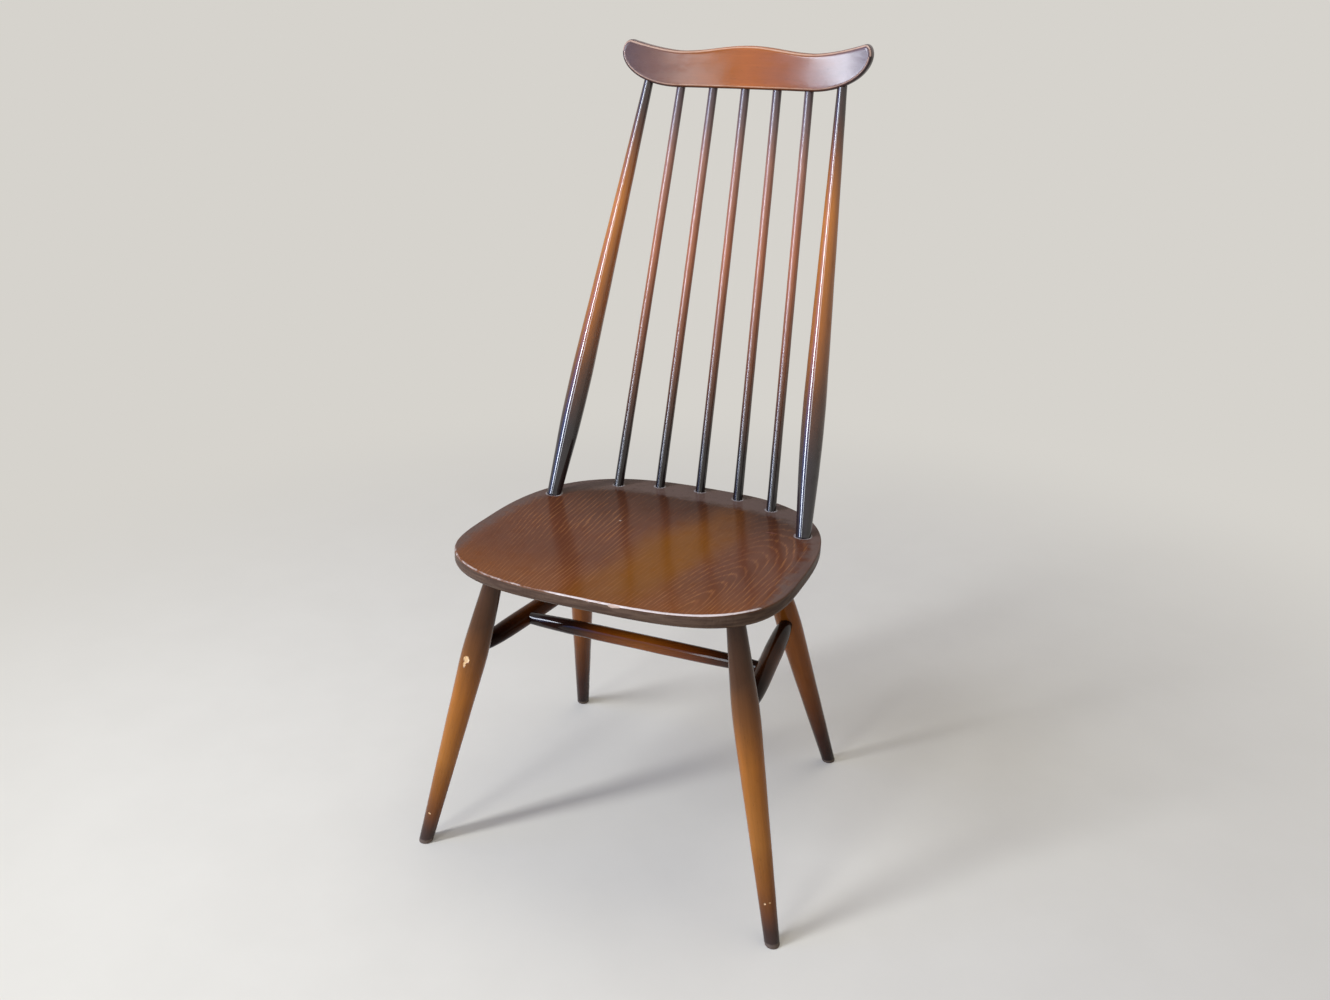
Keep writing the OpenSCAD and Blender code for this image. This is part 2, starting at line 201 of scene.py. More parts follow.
def turnedFinish(name, stainAndSheen):
    # stain sprayed along a turned piece, under lacquer, with painted sheen in the posts' and
    # spindles' stops; its stops run from lower end to upper
    look = turnedLook
    material, f = newFinish(name)
    place = f.place()
    shift = tuple(stainAndSheen["seed"] * by for by in look["shift"])
    wander = f.cloud(place, look["driftGrain"], 2.0, shift=shift)
    along = f.painted("along") + (wander - 0.5) * look["drift"]
    stained = f.ramp(along, stainAndSheen["stops"])
    fibre = f.cloud(place, look["fibreGrain"], 4.0, 0.62, shift)
    streak = f.cloud(place, look["streakGrain"], 3.0, shift=shift)
    fleck = f.between(f.cloud(place, look["fleckGrain"], 2.0, shift=shift), *look["fleckEdge"])
    shade = (look["darkest"] + fibre * look["fibreShade"] + streak * look["streakShade"]
             - fleck * look["fleckShade"])
    stained = f.blend(1.0, stained, f.greyed(shade), "MULTIPLY")
    scuffs = f.cloud(place, look["scuffGrain"], 6.0, 0.7, shift)
    rub = f.between(f.painted("rub") + (scuffs - 0.5) * look["rubRagged"], *look["rubEdge"])
    stained = f.blend(rub * look["rubShow"], stained, look["rubbed"])
    chipped = f.between(f.painted("bare") + (scuffs - 0.5) * look["bareRagged"],
                        *look["bareEdge"])
    bareWood = f.blend(f.between(fibre, 0.35, 0.65), look["bare"], look["bareDark"])
    colour = f.blend(chipped, stained, bareWood)
    dull = f.between(scuffs, *look["dullEdge"])
    height = fibre * 0.5 + streak * 0.3 - fleck * 0.3
    f.close(f.surface(
        Base_Color=colour,
        Roughness=look["rough"] + fibre * 0.1 + chipped * 0.3 + rub * 0.2,
        Coat_Weight=(1 - chipped) * (1 - rub * 0.6) * (look["lacquer"] - dull * look["dull"]),
        Coat_Roughness=stainAndSheen["lacquerRough"],
        Coat_IOR=stainAndSheen["lacquerIor"],
        Specular_IOR_Level=0.0,
        Normal=f.bump(height, look["grainDeep"])))
    return material


seatLook = {
    "red": tint(104, 60, 40),
    "dark": tint(60, 36, 26), "darkEdge": (0.02, 0.2),          # towards the back
    "front": tint(124, 70, 34), "frontEdge": (-0.15, -0.04),    # towards the front
    "honey": tint(126, 74, 18), "honeyEdge": (0.3, 1.25), "honeyRagged": 0.9,
    "honeyX": 0.042, "honeyY": -0.02, "honeyWide": 0.062, "honeyLong": 0.17, "honeyLean": 0.12,
    "pore": tint(160, 104, 60), "poreEdge": (0.6, 0.8), "poreShow": (0.1, 0.4),
    "rim": tint(102, 82, 74), "rimEdge": (0.3, 1.05), "rimRagged": 1.8,
    "side": tint(98, 78, 64), "sideDark": tint(78, 60, 50), "sideGrain": (30, 30, 260),
    # worn: the front arris's worn finish, painted near white so that it also stands in for the
    # arris's highlight
    "worn": tint(232, 218, 210), "wornHighlightEdge": (0.42, 0.75), "wornHighlightRagged": 1.1,
    "bare": tint(206, 176, 156), "bareEdge": (0.5, 0.62), "bareRagged": 0.4,
    "wearAndHighlightShow": 0.85,                 # how plain the worn places, with their painted highlight, and the bare places are
    "growth": 0.0052,                 # spacing of the growth rings
    "loopX": 0.118, "loopY": -0.17, "loopLean": 0.2,
    "fanReach": 0.137, "fanOut": 1.3,              # the rings spread towards the back
    "driftGrain": (9, 3.5, 3), "drift": (0.026, 0.012),
    "trembleGrain": (70, 9, 40), "tremble": 0.0042,
    "strokeGrain": (760, 15, 600), "fineGrain": (640, 12, 500), "fineShade": 0.4,
    "patchyGrain": (8, 5, 5), "patchGrain": (16, 9, 9), "patchShade": 0.34,
    "ringShade": 0.2, "darkest": 0.78,
    "scuffGrain": (55, 55, 55),
    "lacquer": 0.5, "lacquerRough": 0.16, "lacquerIor": 1.3,
    "rough": 0.4, "grainDeep": 0.0002,
    "residue": tint(184, 178, 176), "residueWide": 0.0034, "residueShow": 0.8,
}
seatMarks = [      # one pale speck, and one short rubbed streak
    {"at": (-0.058, 0.076), "size": (0.002, 0.0022), "edge": (0.9, 1.4),
     "colour": tint(196, 178, 160), "show": 0.9},
    {"at": (0.133, 0.113), "size": (0.0085, 0.0016), "edge": (0.9, 1.7),
     "colour": tint(150, 96, 84), "show": 0.45},
]


def seatFinish(bases):
    # slab of open-grained wood, stained and lacquered, its front arris painted pale as worn
    # finish and painted highlight; bases are where the back's sticks stand
    look = seatLook
    material, f = newFinish("seatWood")
    place = f.place()
    x, y, z = f.parts(place)
    drift = f.cloud(place, look["driftGrain"], 2.0) - 0.5
    tremble = f.cloud(place, look["trembleGrain"], 3.0) - 0.5
    fan = 1 + (y + look["fanReach"]) * look["fanOut"]
    across = x / fan - look["loopX"] + drift * look["drift"][0]
    rise = (y - look["loopY"]) * look["loopLean"] + z * 1.6 + drift * look["drift"][1]
    rings = distance(across, rise) + tremble * look["tremble"]
    turn = f.node("Math", {"operation": "FRACT"}, {0: rings / look["growth"]})
    early = f.between(turn, 0.05, 0.3) * (1 - f.between(turn, 0.32, 0.62))
    strokes = f.cloud(place, look["strokeGrain"], 3.0, 0.6)
    fine = f.cloud(place, look["fineGrain"], 4.0, 0.6)
    patchy = f.cloud(place, look["patchyGrain"], 2.0)
    pores = f.between(strokes + early * 0.22, *look["poreEdge"])

    reachX = (x - look["honeyX"] - y * look["honeyLean"]) / look["honeyWide"]
    reachY = (y - look["honeyY"]) / look["honeyLong"]
    patch = f.cloud(place, look["patchGrain"], 3.0)
    out = distance(reachX, reachY) + (patch - 0.5) * look["honeyRagged"]
    honey = 1 - f.between(out, *look["honeyEdge"])
    backward = f.between(y + (patch - 0.5) * 0.1, *look["darkEdge"])
    forward = 1 - f.between(y + (patch - 0.5) * 0.08, *look["frontEdge"])
    colour = f.blend(backward, look["red"], look["dark"])
    colour = f.blend(forward, colour, look["front"])
    colour = f.blend(honey, colour, look["honey"])
    ringShow = (1 - honey * 0.85) * f.between(patchy - f.between(y, 0.06, 0.16) * 0.2, 0.36, 0.6)
    shade = (look["darkest"] + fine * look["fineShade"]
             + (early - 0.35) * ringShow * look["ringShade"]
             + (patch - 0.5) * look["patchShade"])
    colour = f.blend(1.0, colour, f.greyed(shade), "MULTIPLY")
    least, more = look["poreShow"]
    colour = f.blend(pores * (least + ringShow * more), colour, look["pore"])

    scuffs = f.cloud(place, look["scuffGrain"], 7.0, 0.72)
    rim = f.between(f.painted("rim") + (scuffs - 0.5) * look["rimRagged"], *look["rimEdge"])
    colour = f.blend(rim * 0.9, colour, look["rim"])
    side = f.painted("side")
    sideGrain = f.cloud(place, look["sideGrain"], 4.0, 0.6)
    sideColour = f.blend(f.between(sideGrain, 0.35, 0.65), look["side"], look["sideDark"])
    colour = f.blend(side, colour, sideColour)
    # painted highlight: the worn front arris is painted near white, as its highlight as well as
    # its worn finish
    rub = f.between(f.painted("rub") + (scuffs - 0.5) * look["wornHighlightRagged"], *look["wornHighlightEdge"])
    colour = f.blend(rub * look["wearAndHighlightShow"], colour, look["worn"])
    bare = f.between(f.painted("bare") + (scuffs - 0.5) * look["bareRagged"], *look["bareEdge"])
    colour = f.blend(bare * look["wearAndHighlightShow"], colour, look["bare"])

    for mark in seatMarks:
        markX = (x - mark["at"][0]) / mark["size"][0]
        markY = (y - mark["at"][1]) / mark["size"][1]
        inside = 1 - f.between(distance(markX, markY) + scuffs, *mark["edge"])
        colour = f.blend(inside * mark["show"], colour, mark["colour"])

    ring = None
    for base in bases:
        away = f.node("VectorMath", {"operation": "DISTANCE"},
                      {0: place, 1: base["at"]}, out=1)
        past = away - base["radius"] + (scuffs - 0.5) * 0.004
        band = 1 - f.between(past, 0.0004, look["residueWide"])
        ring = band if ring is None else f.larger(ring, band)
    top = f.between(z, -0.012, -0.009) * (1 - side)
    residue = ring * top * f.between(scuffs, 0.34, 0.56)
    colour = f.blend(residue * look["residueShow"], colour, look["residue"])

    height = fine * 0.35 - pores * 0.6 - early * 0.25 + scuffs * 0.1
    polish = look["lacquer"] + rub * 0.5 - f.between(scuffs, 0.45, 0.7) * 0.2
    f.close(f.surface(
        Base_Color=colour,
        Roughness=look["rough"] + rim * 0.2 + side * 0.1 + bare * 0.2 + fine * 0.1,
        Coat_Weight=(1 - rim * 0.4 * (1 - rub)) * (1 - bare) * (1 - side * 0.3) * polish,
        Coat_Roughness=look["lacquerRough"],
        Coat_IOR=look["lacquerIor"],
        Specular_IOR_Level=0.0,
        Normal=f.bump(height, look["grainDeep"])))
    return material


crestLook = {
    "stops": [(0.0, tint(168, 92, 38)), (0.42, tint(140, 80, 42)),
              (0.68, tint(120, 84, 72)), (0.95, tint(96, 76, 78))],    # middle to ends: darker stain towards the ends, with their grey-lavender painted reflection
    "half": 0.167,                    # how far out the last stop lies
    # edge: painted shade on the lower roundover, under the rail
    "edge": tint(44, 28, 24), "undersideShadeShow": 0.8,
    # rubbed: the worn front arrises, painted pale as their highlight lines
    "rubbed": tint(226, 186, 160), "rubEdge": (0.4, 0.85), "rubRagged": 0.5, "rubShow": 0.6,
    "mistGrain": (20, 20, 42), "mist": 0.34, "mistShade": 0.5,
    "fibreGrain": (14, 420, 420), "fibreShade": 0.3,
    "figureGrain": (5, 60, 60), "figureShade": 0.36,
    "fleckGrain": (150, 900, 900), "fleckEdge": (0.6, 0.74), "fleckShade": 0.16,
    "scuffGrain": (60, 60, 60), "darkest": 0.52, "lift": 0.12,
    "rough": 0.36, "lacquer": 0.95, "dullEdge": (0.7, 0.95), "dull": 0.5,
    "lacquerRough": 0.15, "lacquerIor": 1.4, "grainDeep": 0.0001,
}


def crestFinish():
    # bent rail with the grain running along it, darker stained towards its ends, with painted
    # reflection tone at the ends, painted highlight lines on its arrises and painted shade on
    # its lower roundover
    look = crestLook
    material, f = newFinish("crestWood")
    place = f.place()
    x = f.parts(place)[0]
    out = (x * x) ** 0.5 / look["half"]
    mist = f.cloud(place, look["mistGrain"], 5.0, 0.65)
    colour = f.ramp(out + (mist - 0.5) * look["mist"], look["stops"])
    fibre = f.cloud(place, look["fibreGrain"], 4.0, 0.62)
    figure = f.cloud(place, look["figureGrain"], 3.0)
    fleck = f.between(f.cloud(place, look["fleckGrain"], 2.0), *look["fleckEdge"])
    shade = (look["darkest"] + fibre * look["fibreShade"] + figure * look["figureShade"]
             - fleck * look["fleckShade"] + (mist - 0.5) * look["mistShade"] + look["lift"])
    colour = f.blend(1.0, colour, f.greyed(shade), "MULTIPLY")
    # painted shade: the downward-facing lower roundover is darkened
    colour = f.blend(f.painted("under") * look["undersideShadeShow"], colour, look["edge"])
    scuffs = f.cloud(place, look["scuffGrain"], 6.0, 0.7)
    # painted highlight: the rubbed arris lines are painted pale over the wear
    rub = f.between(f.painted("rub") + (scuffs - 0.5) * look["rubRagged"], *look["rubEdge"])
    colour = f.blend(rub * look["rubShow"], colour, look["rubbed"])
    dull = f.between(mist + scuffs * 0.5, *look["dullEdge"])
    f.close(f.surface(
        Base_Color=colour,
        Roughness=look["rough"] + fibre * 0.1 + rub * 0.15,
        Coat_Weight=look["lacquer"] - dull * look["dull"],
        Coat_Roughness=look["lacquerRough"],
        Coat_IOR=look["lacquerIor"],
        Specular_IOR_Level=0.0,
        Normal=f.bump(fibre * 0.5 + figure * 0.3 - fleck * 0.3, look["grainDeep"])))
    return material


def cadPoints(node):
    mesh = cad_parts[node].data
    flat = np.empty(len(mesh.vertices) * 3)
    mesh.vertices.foreach_get("co", flat)
    return flat.reshape(-1, 3)


def ringCentre(points):
    return Vector((points.min(0) + points.max(0)) / 2)


endReach = {"end": 0.004, "foot": 0.0003}      # how much of a piece counts as its end


def endsOf(node, direction):
    # middles of the two ends of a turned piece, the second one further along direction
    points = cadPoints(node)
    middle = points.mean(0)
    axis = np.linalg.svd(points - middle, full_matrices=False)[2][0]
    if axis[direction] < 0:
        axis = -axis
    along = (points - middle) @ axis
    reach = endReach["end"]
    return (ringCentre(points[along < along.min() + reach]),
            ringCentre(points[along > along.max() - reach]))


def footOf(node):
    points = cadPoints(node)
    return ringCentre(points[points[:, 2] < points[:, 2].min() + endReach["foot"]])


def nearestAlong(start, end, otherStart, otherEnd):
    # distance from start, along start-end, at which the other line passes closest
    a = (end - start).normalized()
    b = (otherEnd - otherStart).normalized()
    gap = otherStart - start
    tilt = a.dot(b)
    return (gap.dot(a) - gap.dot(b) * tilt) / (1 - tilt * tilt)


def smooth(value, low, high):
    share = np.clip((value - low) / (high - low), 0, 1)
    return share * share * (3 - 2 * share)


def waver(points, scale, shift):
    return np.array([noise.noise(Vector(p) * scale + shift) for p in points])


def gridFaces(rows, columns):
    # quads between neighbouring rings of points
    return [(r * columns + c, r * columns + (c + 1) % columns,
             (r + 1) * columns + (c + 1) % columns, (r + 1) * columns + c)
            for r in range(rows - 1) for c in range(columns)]


def makePiece(node, points, faces, masks, material, matrix):
    # points are in the piece's own frame, which matrix turns into the chair's
    own = np.asarray(points, float)
    turned = np.array(matrix)
    mesh = bpy.data.meshes.new(node + "_wood")
    mesh.from_pydata((own @ turned[:3, :3].T + turned[:3, 3]).tolist(), [], faces)
    mesh.attributes.new("place", "FLOAT_VECTOR", "POINT").data.foreach_set(
        "vector", own.astype(np.float32).ravel())
    for mask, values in masks.items():
        mesh.attributes.new(mask, "FLOAT", "POINT").data.foreach_set(
            "value", np.asarray(values, np.float32))
    mesh.shade_smooth()
    mesh.materials.append(material)
    piece = bpy.data.objects.new(node + "_wood", mesh)
    bpy.context.scene.collection.objects.link(piece)
    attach(piece, "root")
    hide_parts(node)
    return piece


def axisFrame(start, end):
    # Z along the piece, X towards the front of the chair, Y to its right
    up = (end - start).normalized()
    ahead = Vector((0, -1, 0))
    ahead = (ahead - up * ahead.dot(up)).normalized()
    if abs(up.y) > 0.9:
        ahead = (Vector((0, 0, 1)) - up * up.z).normalized()
    side = up.cross(ahead)
    turned = Matrix((ahead, side, up)).transposed().to_4x4()
    return Matrix.Translation(start) @ turned


turning = {
    "peak": 0.09,                     # how far the two tapers' meeting point is past the bulb
    "curvePoints": 25, "swellPoints": 41, "swellPower": 4,
    "shift": (7.3, 3.9, 5.1),         # moves the waves on from one piece to the next
    "waveGrain": 26, "wave": 0.00018,
    "chipRows": 26, "raggedGrain": 420, "ragged": 0.2, "dentEdge": (0.55, 1.0),
    "footRows": (-0.006, 0.008, 30),  # from, to and how many
    "wearGrain": 90, "wearLeast": 0.75, "wearMore": 0.5, "wear": 0.8, "rubTall": 0.012,
}


def bulbProfile(low, bulb, high, reach):
    # (length, radius) of two straight tapers that meet in a rounded bulb
    low, bulb, high = np.array(low), np.array(bulb), np.array(high)
    past = (bulb[1] - max(low[1], high[1])) * turning["peak"]
    peak = np.array([bulb[0], bulb[1] + past])
    a = peak + (low - peak) * reach / np.linalg.norm(low - peak)
    c = peak + (high - peak) * reach / np.linalg.norm(high - peak)
    u = np.linspace(0, 1, turning["curvePoints"])[:, None]
    curve = a * (1 - u) ** 2 + peak * 2 * u * (1 - u) + c * u * u
    return np.vstack([low, curve, high])


def swellProfile(endRadius, midRadius, start, end, overrun):
    # (length, radius) of a stretcher that swells between two plain ends
    u = np.linspace(-1, 1, turning["swellPoints"])
    swell = 1 - np.abs(u) ** turning["swellPower"]
    body = np.column_stack([start + (u + 1) / 2 * (end - start),
                            endRadius + (midRadius - endRadius) * swell])
    return np.vstack([[start - overrun, endRadius], body, [end + overrun, endRadius]])


def turnPiece(name, start, end, profile, material,
              sides=72, step=0.0024, chips=(), rounded=0.0, seed=0):
    # a lathed piece; chips are dents with the finish gone, rounded is the wear on a foot's edge
    matrix = axisFrame(start, end)
    low, high = profile[0][0], profile[-1][0]
    stations = set(np.linspace(low, high, int((high - low) / step) + 2))
    for chip in chips:
        stations |= set(np.linspace(chip["at"] - chip["tall"], chip["at"] + chip["tall"],
                                    turning["chipRows"]))
    if rounded:
        stations |= set(np.linspace(*turning["footRows"]))
    stations = np.array(sorted(stations))
    angles = np.linspace(0, 2 * math.pi, sides, endpoint=False)
    along, angle = [g.ravel() for g in np.meshgrid(stations, angles, indexing="ij")]
    radius = np.interp(along, profile[:, 0], profile[:, 1])
    shift = Vector([seed * by for by in turning["shift"]])

    def spots(radius):
        return np.column_stack([radius * np.cos(angle), radius * np.sin(angle), along])

    first = spots(radius)
    radius = radius + waver(first, turning["waveGrain"], shift) * turning["wave"]
    bare = np.zeros(len(along))
    for chip in chips:
        around = (angle - math.radians(chip["turn"]) + math.pi) % (2 * math.pi) - math.pi
        ragged = waver(first, turning["raggedGrain"], shift) * turning["ragged"]
        away = np.hypot((along - chip["at"]) / chip["tall"],
                        around * radius / chip["wide"]) + ragged
        dent = 1 - smooth(away, *turning["dentEdge"])
        radius = radius - dent * chip["deep"]
        bare = np.maximum(bare, dent)
    rub = np.zeros(len(along))
    if rounded:
        turned = np.array(matrix)
        height = spots(radius) @ turned[2, :3] + turned[2, 3]
        nearFloor = np.clip(1 - height / rounded, 0, 1)
        uneven = waver(first, turning["wearGrain"], shift)
        worn = turning["wearLeast"] + turning["wearMore"] * uneven
        radius = radius - rounded * (1 - np.sqrt(1 - nearFloor ** 2)) * worn * turning["wear"]
        rub = 1 - smooth(height, 0.0, turning["rubTall"])
    points = spots(radius)
    faces = gridFaces(len(stations), sides)
    faces.append(tuple(range(sides))[::-1])
    faces.append(tuple((len(stations) - 1) * sides + i for i in range(sides)))
    share = (along - max(low, 0)) / (high - max(low, 0))
    piece = makePiece(name, points, faces, {"along": share, "bare": bare, "rub": rub},
                      material, matrix)
    if rounded:
        trimAtFloor(piece)
    return piece


def trimAtFloor(piece):
    # cuts a leg off level with the floor and closes the cut
    mesh = bmesh.new()
    mesh.from_mesh(piece.data)
    cut = bmesh.ops.bisect_plane(mesh, geom=mesh.verts[:] + mesh.edges[:] + mesh.faces[:],
                                 plane_co=(0, 0, 0), plane_no=(0, 0, 1), clear_inner=True)
    rim = [e for e in cut["geom_cut"] if isinstance(e, bmesh.types.BMEdge)]
    bmesh.ops.holes_fill(mesh, edges=rim)
    mesh.to_mesh(piece.data)
    mesh.free()


legShape = {
    "footRadius": 0.00875, "bulbRadius": 0.01625, "neckRadius": 0.01025,
    "blend": 0.028, "tenon": 0.014, "inSeat": 0.003, "neckStraight": 0.0045,
    "overrun": 0.03, "footWear": 0.0022,
}
frontLegStain = {
    "stops": [(0.0, tint(58, 46, 42)), (0.05, tint(66, 46, 38)), (0.1, tint(98, 58, 34)),
              (0.17, tint(126, 74, 30)), (0.32, tint(158, 98, 38)), (0.55, tint(154, 92, 32)),
              (0.7, tint(116, 70, 32)), (0.8, tint(80, 50, 30)), (1.0, tint(62, 42, 32))],
    "seed": 1, "lacquerRough": 0.12, "lacquerIor": 1.34,
}
backLegStain = {
    "stops": [(0.0, tint(34, 22, 20)), (0.14, tint(60, 30, 18)), (0.45, tint(120, 66, 22)),
              (0.72, tint(132, 74, 24)), (1.0, tint(56, 32, 18))],
    "seed": 2, "lacquerRough": 0.12, "lacquerIor": 1.28,
}
legChips = {
    "leg_front_left": [
        {"at": 0.2725, "turn": -6, "tall": 0.0058, "wide": 0.0052, "deep": 0.0009},
        {"at": 0.2655, "turn": -11, "tall": 0.0046, "wide": 0.0028, "deep": 0.0006},
        {"at": 0.046, "turn": -4, "tall": 0.0013, "wide": 0.003, "deep": 0.0005}],
    "leg_front_right": [
        {"at": 0.055, "turn": 4, "tall": 0.0014, "wide": 0.0016, "deep": 0.0004},
        {"at": 0.056, "turn": 38, "tall": 0.0014, "wide": 0.0014, "deep": 0.0004}],
}


def buildLegs(material, backMaterial):
    shape = legShape
    for seed, (across, depth) in enumerate([("left", "front"), ("right", "front"),
                                            ("left", "back"), ("right", "back")]):
        name = f"leg_{depth}_{across}"
        foot = footOf(name)
        top = endsOf(name, 2)[1]
        seatAt = (top - foot).length - shape["tenon"]
        bulbAt = nearestAlong(foot, top, *endsOf(f"side_stretcher_{across}", 1))
        slope = (shape["bulbRadius"] - shape["footRadius"]) / bulbAt
        neckAt = seatAt - shape["neckStraight"]
        profile = np.vstack([
            bulbProfile((-shape["overrun"], shape["footRadius"] - slope * shape["overrun"]),
                        (bulbAt, shape["bulbRadius"]), (neckAt, shape["neckRadius"]),
                        shape["blend"]),
            [seatAt + shape["inSeat"], shape["neckRadius"]]])
        turnPiece(name, foot, top, profile, material if depth == "front" else backMaterial,
                  sides=96, step=0.0022, chips=legChips.get(name, ()),
                  rounded=shape["footWear"], seed=seed + 1)


sideRailShape = {"endRadius": 0.0085, "midRadius": 0.01225, "mouth": 0.0195, "tuck": 0.006}
crossRailShape = {"endRadius": 0.00775, "midRadius": 0.01, "mouth": 0.0145, "tuck": 0.006}
sideRailStain = {
    "stops": [(0.0, tint(28, 16, 14)), (0.2, tint(42, 20, 10)), (0.5, tint(84, 42, 14)),
              (0.8, tint(42, 20, 10)), (1.0, tint(28, 16, 14))],
    "seed": 3, "lacquerRough": 0.14, "lacquerIor": 1.14,
}
crossRailStain = {
    "stops": [(0.0, tint(34, 24, 24)), (0.2, tint(42, 22, 16)), (0.32, tint(104, 50, 8)),
              (0.5, tint(132, 70, 14)), (0.68, tint(108, 50, 10)), (0.86, tint(50, 24, 12)),
              (1.0, tint(34, 22, 18))],
    "seed": 4, "lacquerRough": 0.08, "lacquerIor": 1.4,
}


def buildStretchers(sideMaterial, crossMaterial):
    rails = [("side_stretcher_left", 1, sideRailShape, sideMaterial),
             ("side_stretcher_right", 1, sideRailShape, sideMaterial),
             ("cross_stretcher", 0, crossRailShape, crossMaterial)]
    for seed, (name, direction, shape, material) in enumerate(rails):
        start, end = endsOf(name, direction)
        length = (end - start).length
        profile = swellProfile(shape["endRadius"], shape["midRadius"],
                               shape["mouth"], length - shape["mouth"], shape["tuck"])
        turnPiece(name, start, end, profile, material, seed=seed + 11)


postShape = {"baseRadius": 0.0095, "bulbRadius": 0.01475, "topRadius": 0.00625,
             "bulbAt": 0.128, "straight": 0.0035, "blend": 0.06}
spindleShape = {"baseRadius": 0.0064, "topRadius": 0.0058}
stickEnds = {"inSeat": 0.014, "inCrest": 0.018, "tuck": 0.004}
# stain, with the lowest stops lifted grey-lavender as painted sheen
postStainAndSheen = {
    "stops": [(0.0, tint(30, 26, 32)), (0.17, tint(46, 36, 38)), (0.3, tint(98, 54, 22)),
              (0.44, tint(150, 84, 24)), (0.7, tint(182, 108, 36)), (0.84, tint(128, 74, 38)),
              (0.92, tint(64, 44, 38)), (1.0, tint(50, 38, 36))],
    "seed": 5, "lacquerRough": 0.05, "lacquerIor": 1.72,
}
# stain, with the middle and upper stops lifted pale and lavender-pink as painted highlight
spindleStainAndHighlight = {
    "stops": [(0.0, tint(18, 14, 17)), (0.12, tint(34, 22, 20)), (0.26, tint(90, 52, 32)),
              (0.6, tint(166, 100, 66)), (0.8, tint(150, 102, 82)), (0.9, tint(112, 86, 80)),
              (1.0, tint(78, 64, 66))],
    "seed": 6, "lacquerRough": 0.12, "lacquerIor": 1.65,
}


def stickLine(name):
    # where a post or spindle leaves the seat and where it meets the crest rail
    low, high = endsOf(name, 2)
    along = (high - low).normalized()
    return low + along * stickEnds["inSeat"], high - along * stickEnds["inCrest"]


def buildBack(postMaterial, spindleMaterial):
    tuck = stickEnds["tuck"]
    for seed, side in enumerate(["left", "right"]):
        name = f"back_post_{side}"
        base, top = stickLine(name)
        length = (top - base).length
        shape = postShape
        profile = np.vstack([
            [-tuck, shape["baseRadius"]],
            bulbProfile((shape["straight"], shape["baseRadius"]),
                        (shape["bulbAt"], shape["bulbRadius"]),
                        (length, shape["topRadius"]), shape["blend"]),
            [length + tuck, shape["topRadius"]]])
        turnPiece(name, base, top, profile, postMaterial, seed=seed + 21)
    for i in range(1, 6):
        name = f"back_spindle_{i}"
        base, top = stickLine(name)
        length = (top - base).length
        shape = spindleShape
        profile = np.array([[-tuck, shape["baseRadius"]], [0, shape["baseRadius"]],
                            [length, shape["topRadius"]],
                            [length + tuck, shape["topRadius"]]])
        turnPiece(name, base, top, profile, spindleMaterial,
                  sides=48, seed=i + 31)


seatShape = {
    "slope": math.radians(2.3), "thick": 0.022, "arris": 0.0015,
    "edgeWide": 0.013, "edgeTall": 0.011, "frontPower": 3.3, "backPower": 2.75,
    "hollow": 0.007, "rimWide": 0.022, "hollowBack": 0.168, "hollowFront": 0.213,
    "hollowPower": 3.2, "hollowFade": 2.6,
    "around": 660, "arrisRows": 9, "edgeRows": 14,
    "rimEdge": (0.9, 1.12),           # where the hollow gives way to the flat rim
    "waveGrain": 17, "wave": 0.00035,
    "frontEdge": (0.06, 0.12), "nibbleGrain": 160, "nibble": 0.0005,
    "chipFrom": -0.002, "chipTo": 0.068, "chipGrain": 110, "chipDeep": 0.0016,
    "wearHighlightFrom": (-0.06, 0.01), "wearHighlightTo": (0.15, 0.2),
}


def seatFrame():
    # the widest line of the seat's rim, and the outline's half sizes
    shape = seatShape
    low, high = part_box("seat")
    points = cadPoints("seat")
    widest = points[points[:, 0] > points[:, 0].max() - 0.00001]
    edge = widest[widest[:, 2].argmax()]
    tilt = shape["slope"]
    origin = Vector((0, edge[1] + shape["arris"] * math.sin(tilt),
                     edge[2] + shape["arris"] * math.cos(tilt)))
    frontLevel = shape["thick"] - shape["edgeTall"]
    front = (origin.y - low.y - frontLevel * math.sin(tilt)) / math.cos(tilt)
    back = (high.y - origin.y + shape["arris"] * math.sin(tilt)) / math.cos(tilt)
    matrix = Matrix.Translation(origin) @ Matrix.Rotation(-tilt, 4, "X")
    return matrix, high.x, front, back


def evenOutline(half, front, back, count):
    # the two half superellipses of the outline, as points at even spacing round it
    shape = seatShape
    t = np.linspace(0, 2 * math.pi, 24001)
    c, s = np.cos(t), np.sin(t)
    power = np.where(s >= 0, 2 / shape["backPower"], 2 / shape["frontPower"])
    x = half * np.sign(c) * np.abs(c) ** power
    y = np.where(s >= 0, back, front) * np.sign(s) * np.abs(s) ** power
    run = np.concatenate([[0], np.cumsum(np.hypot(np.diff(x), np.diff(y)))])
    wanted = np.linspace(0, run[-1], count, endpoint=False)
    return np.interp(wanted, run, x), np.interp(wanted, run, y)


def hollowAway(x, y, half):
    # 0 at the middle of the hollow and 1 where it runs out
    shape = seatShape
    n = shape["hollowPower"]
    across = np.abs(x) / (half - shape["rimWide"])
    lengthways = np.where(y > 0, y / shape["hollowBack"], -y / shape["hollowFront"])
    return (across ** n + lengthways ** n) ** (1 / n)


def hollowDepth(x, y, half):
    shape = seatShape
    v = 1 - hollowAway(x, y, half) ** shape["hollowFade"]
    return shape["hollow"] * 0.5 * (v + np.sqrt(v * v + 0.0009))


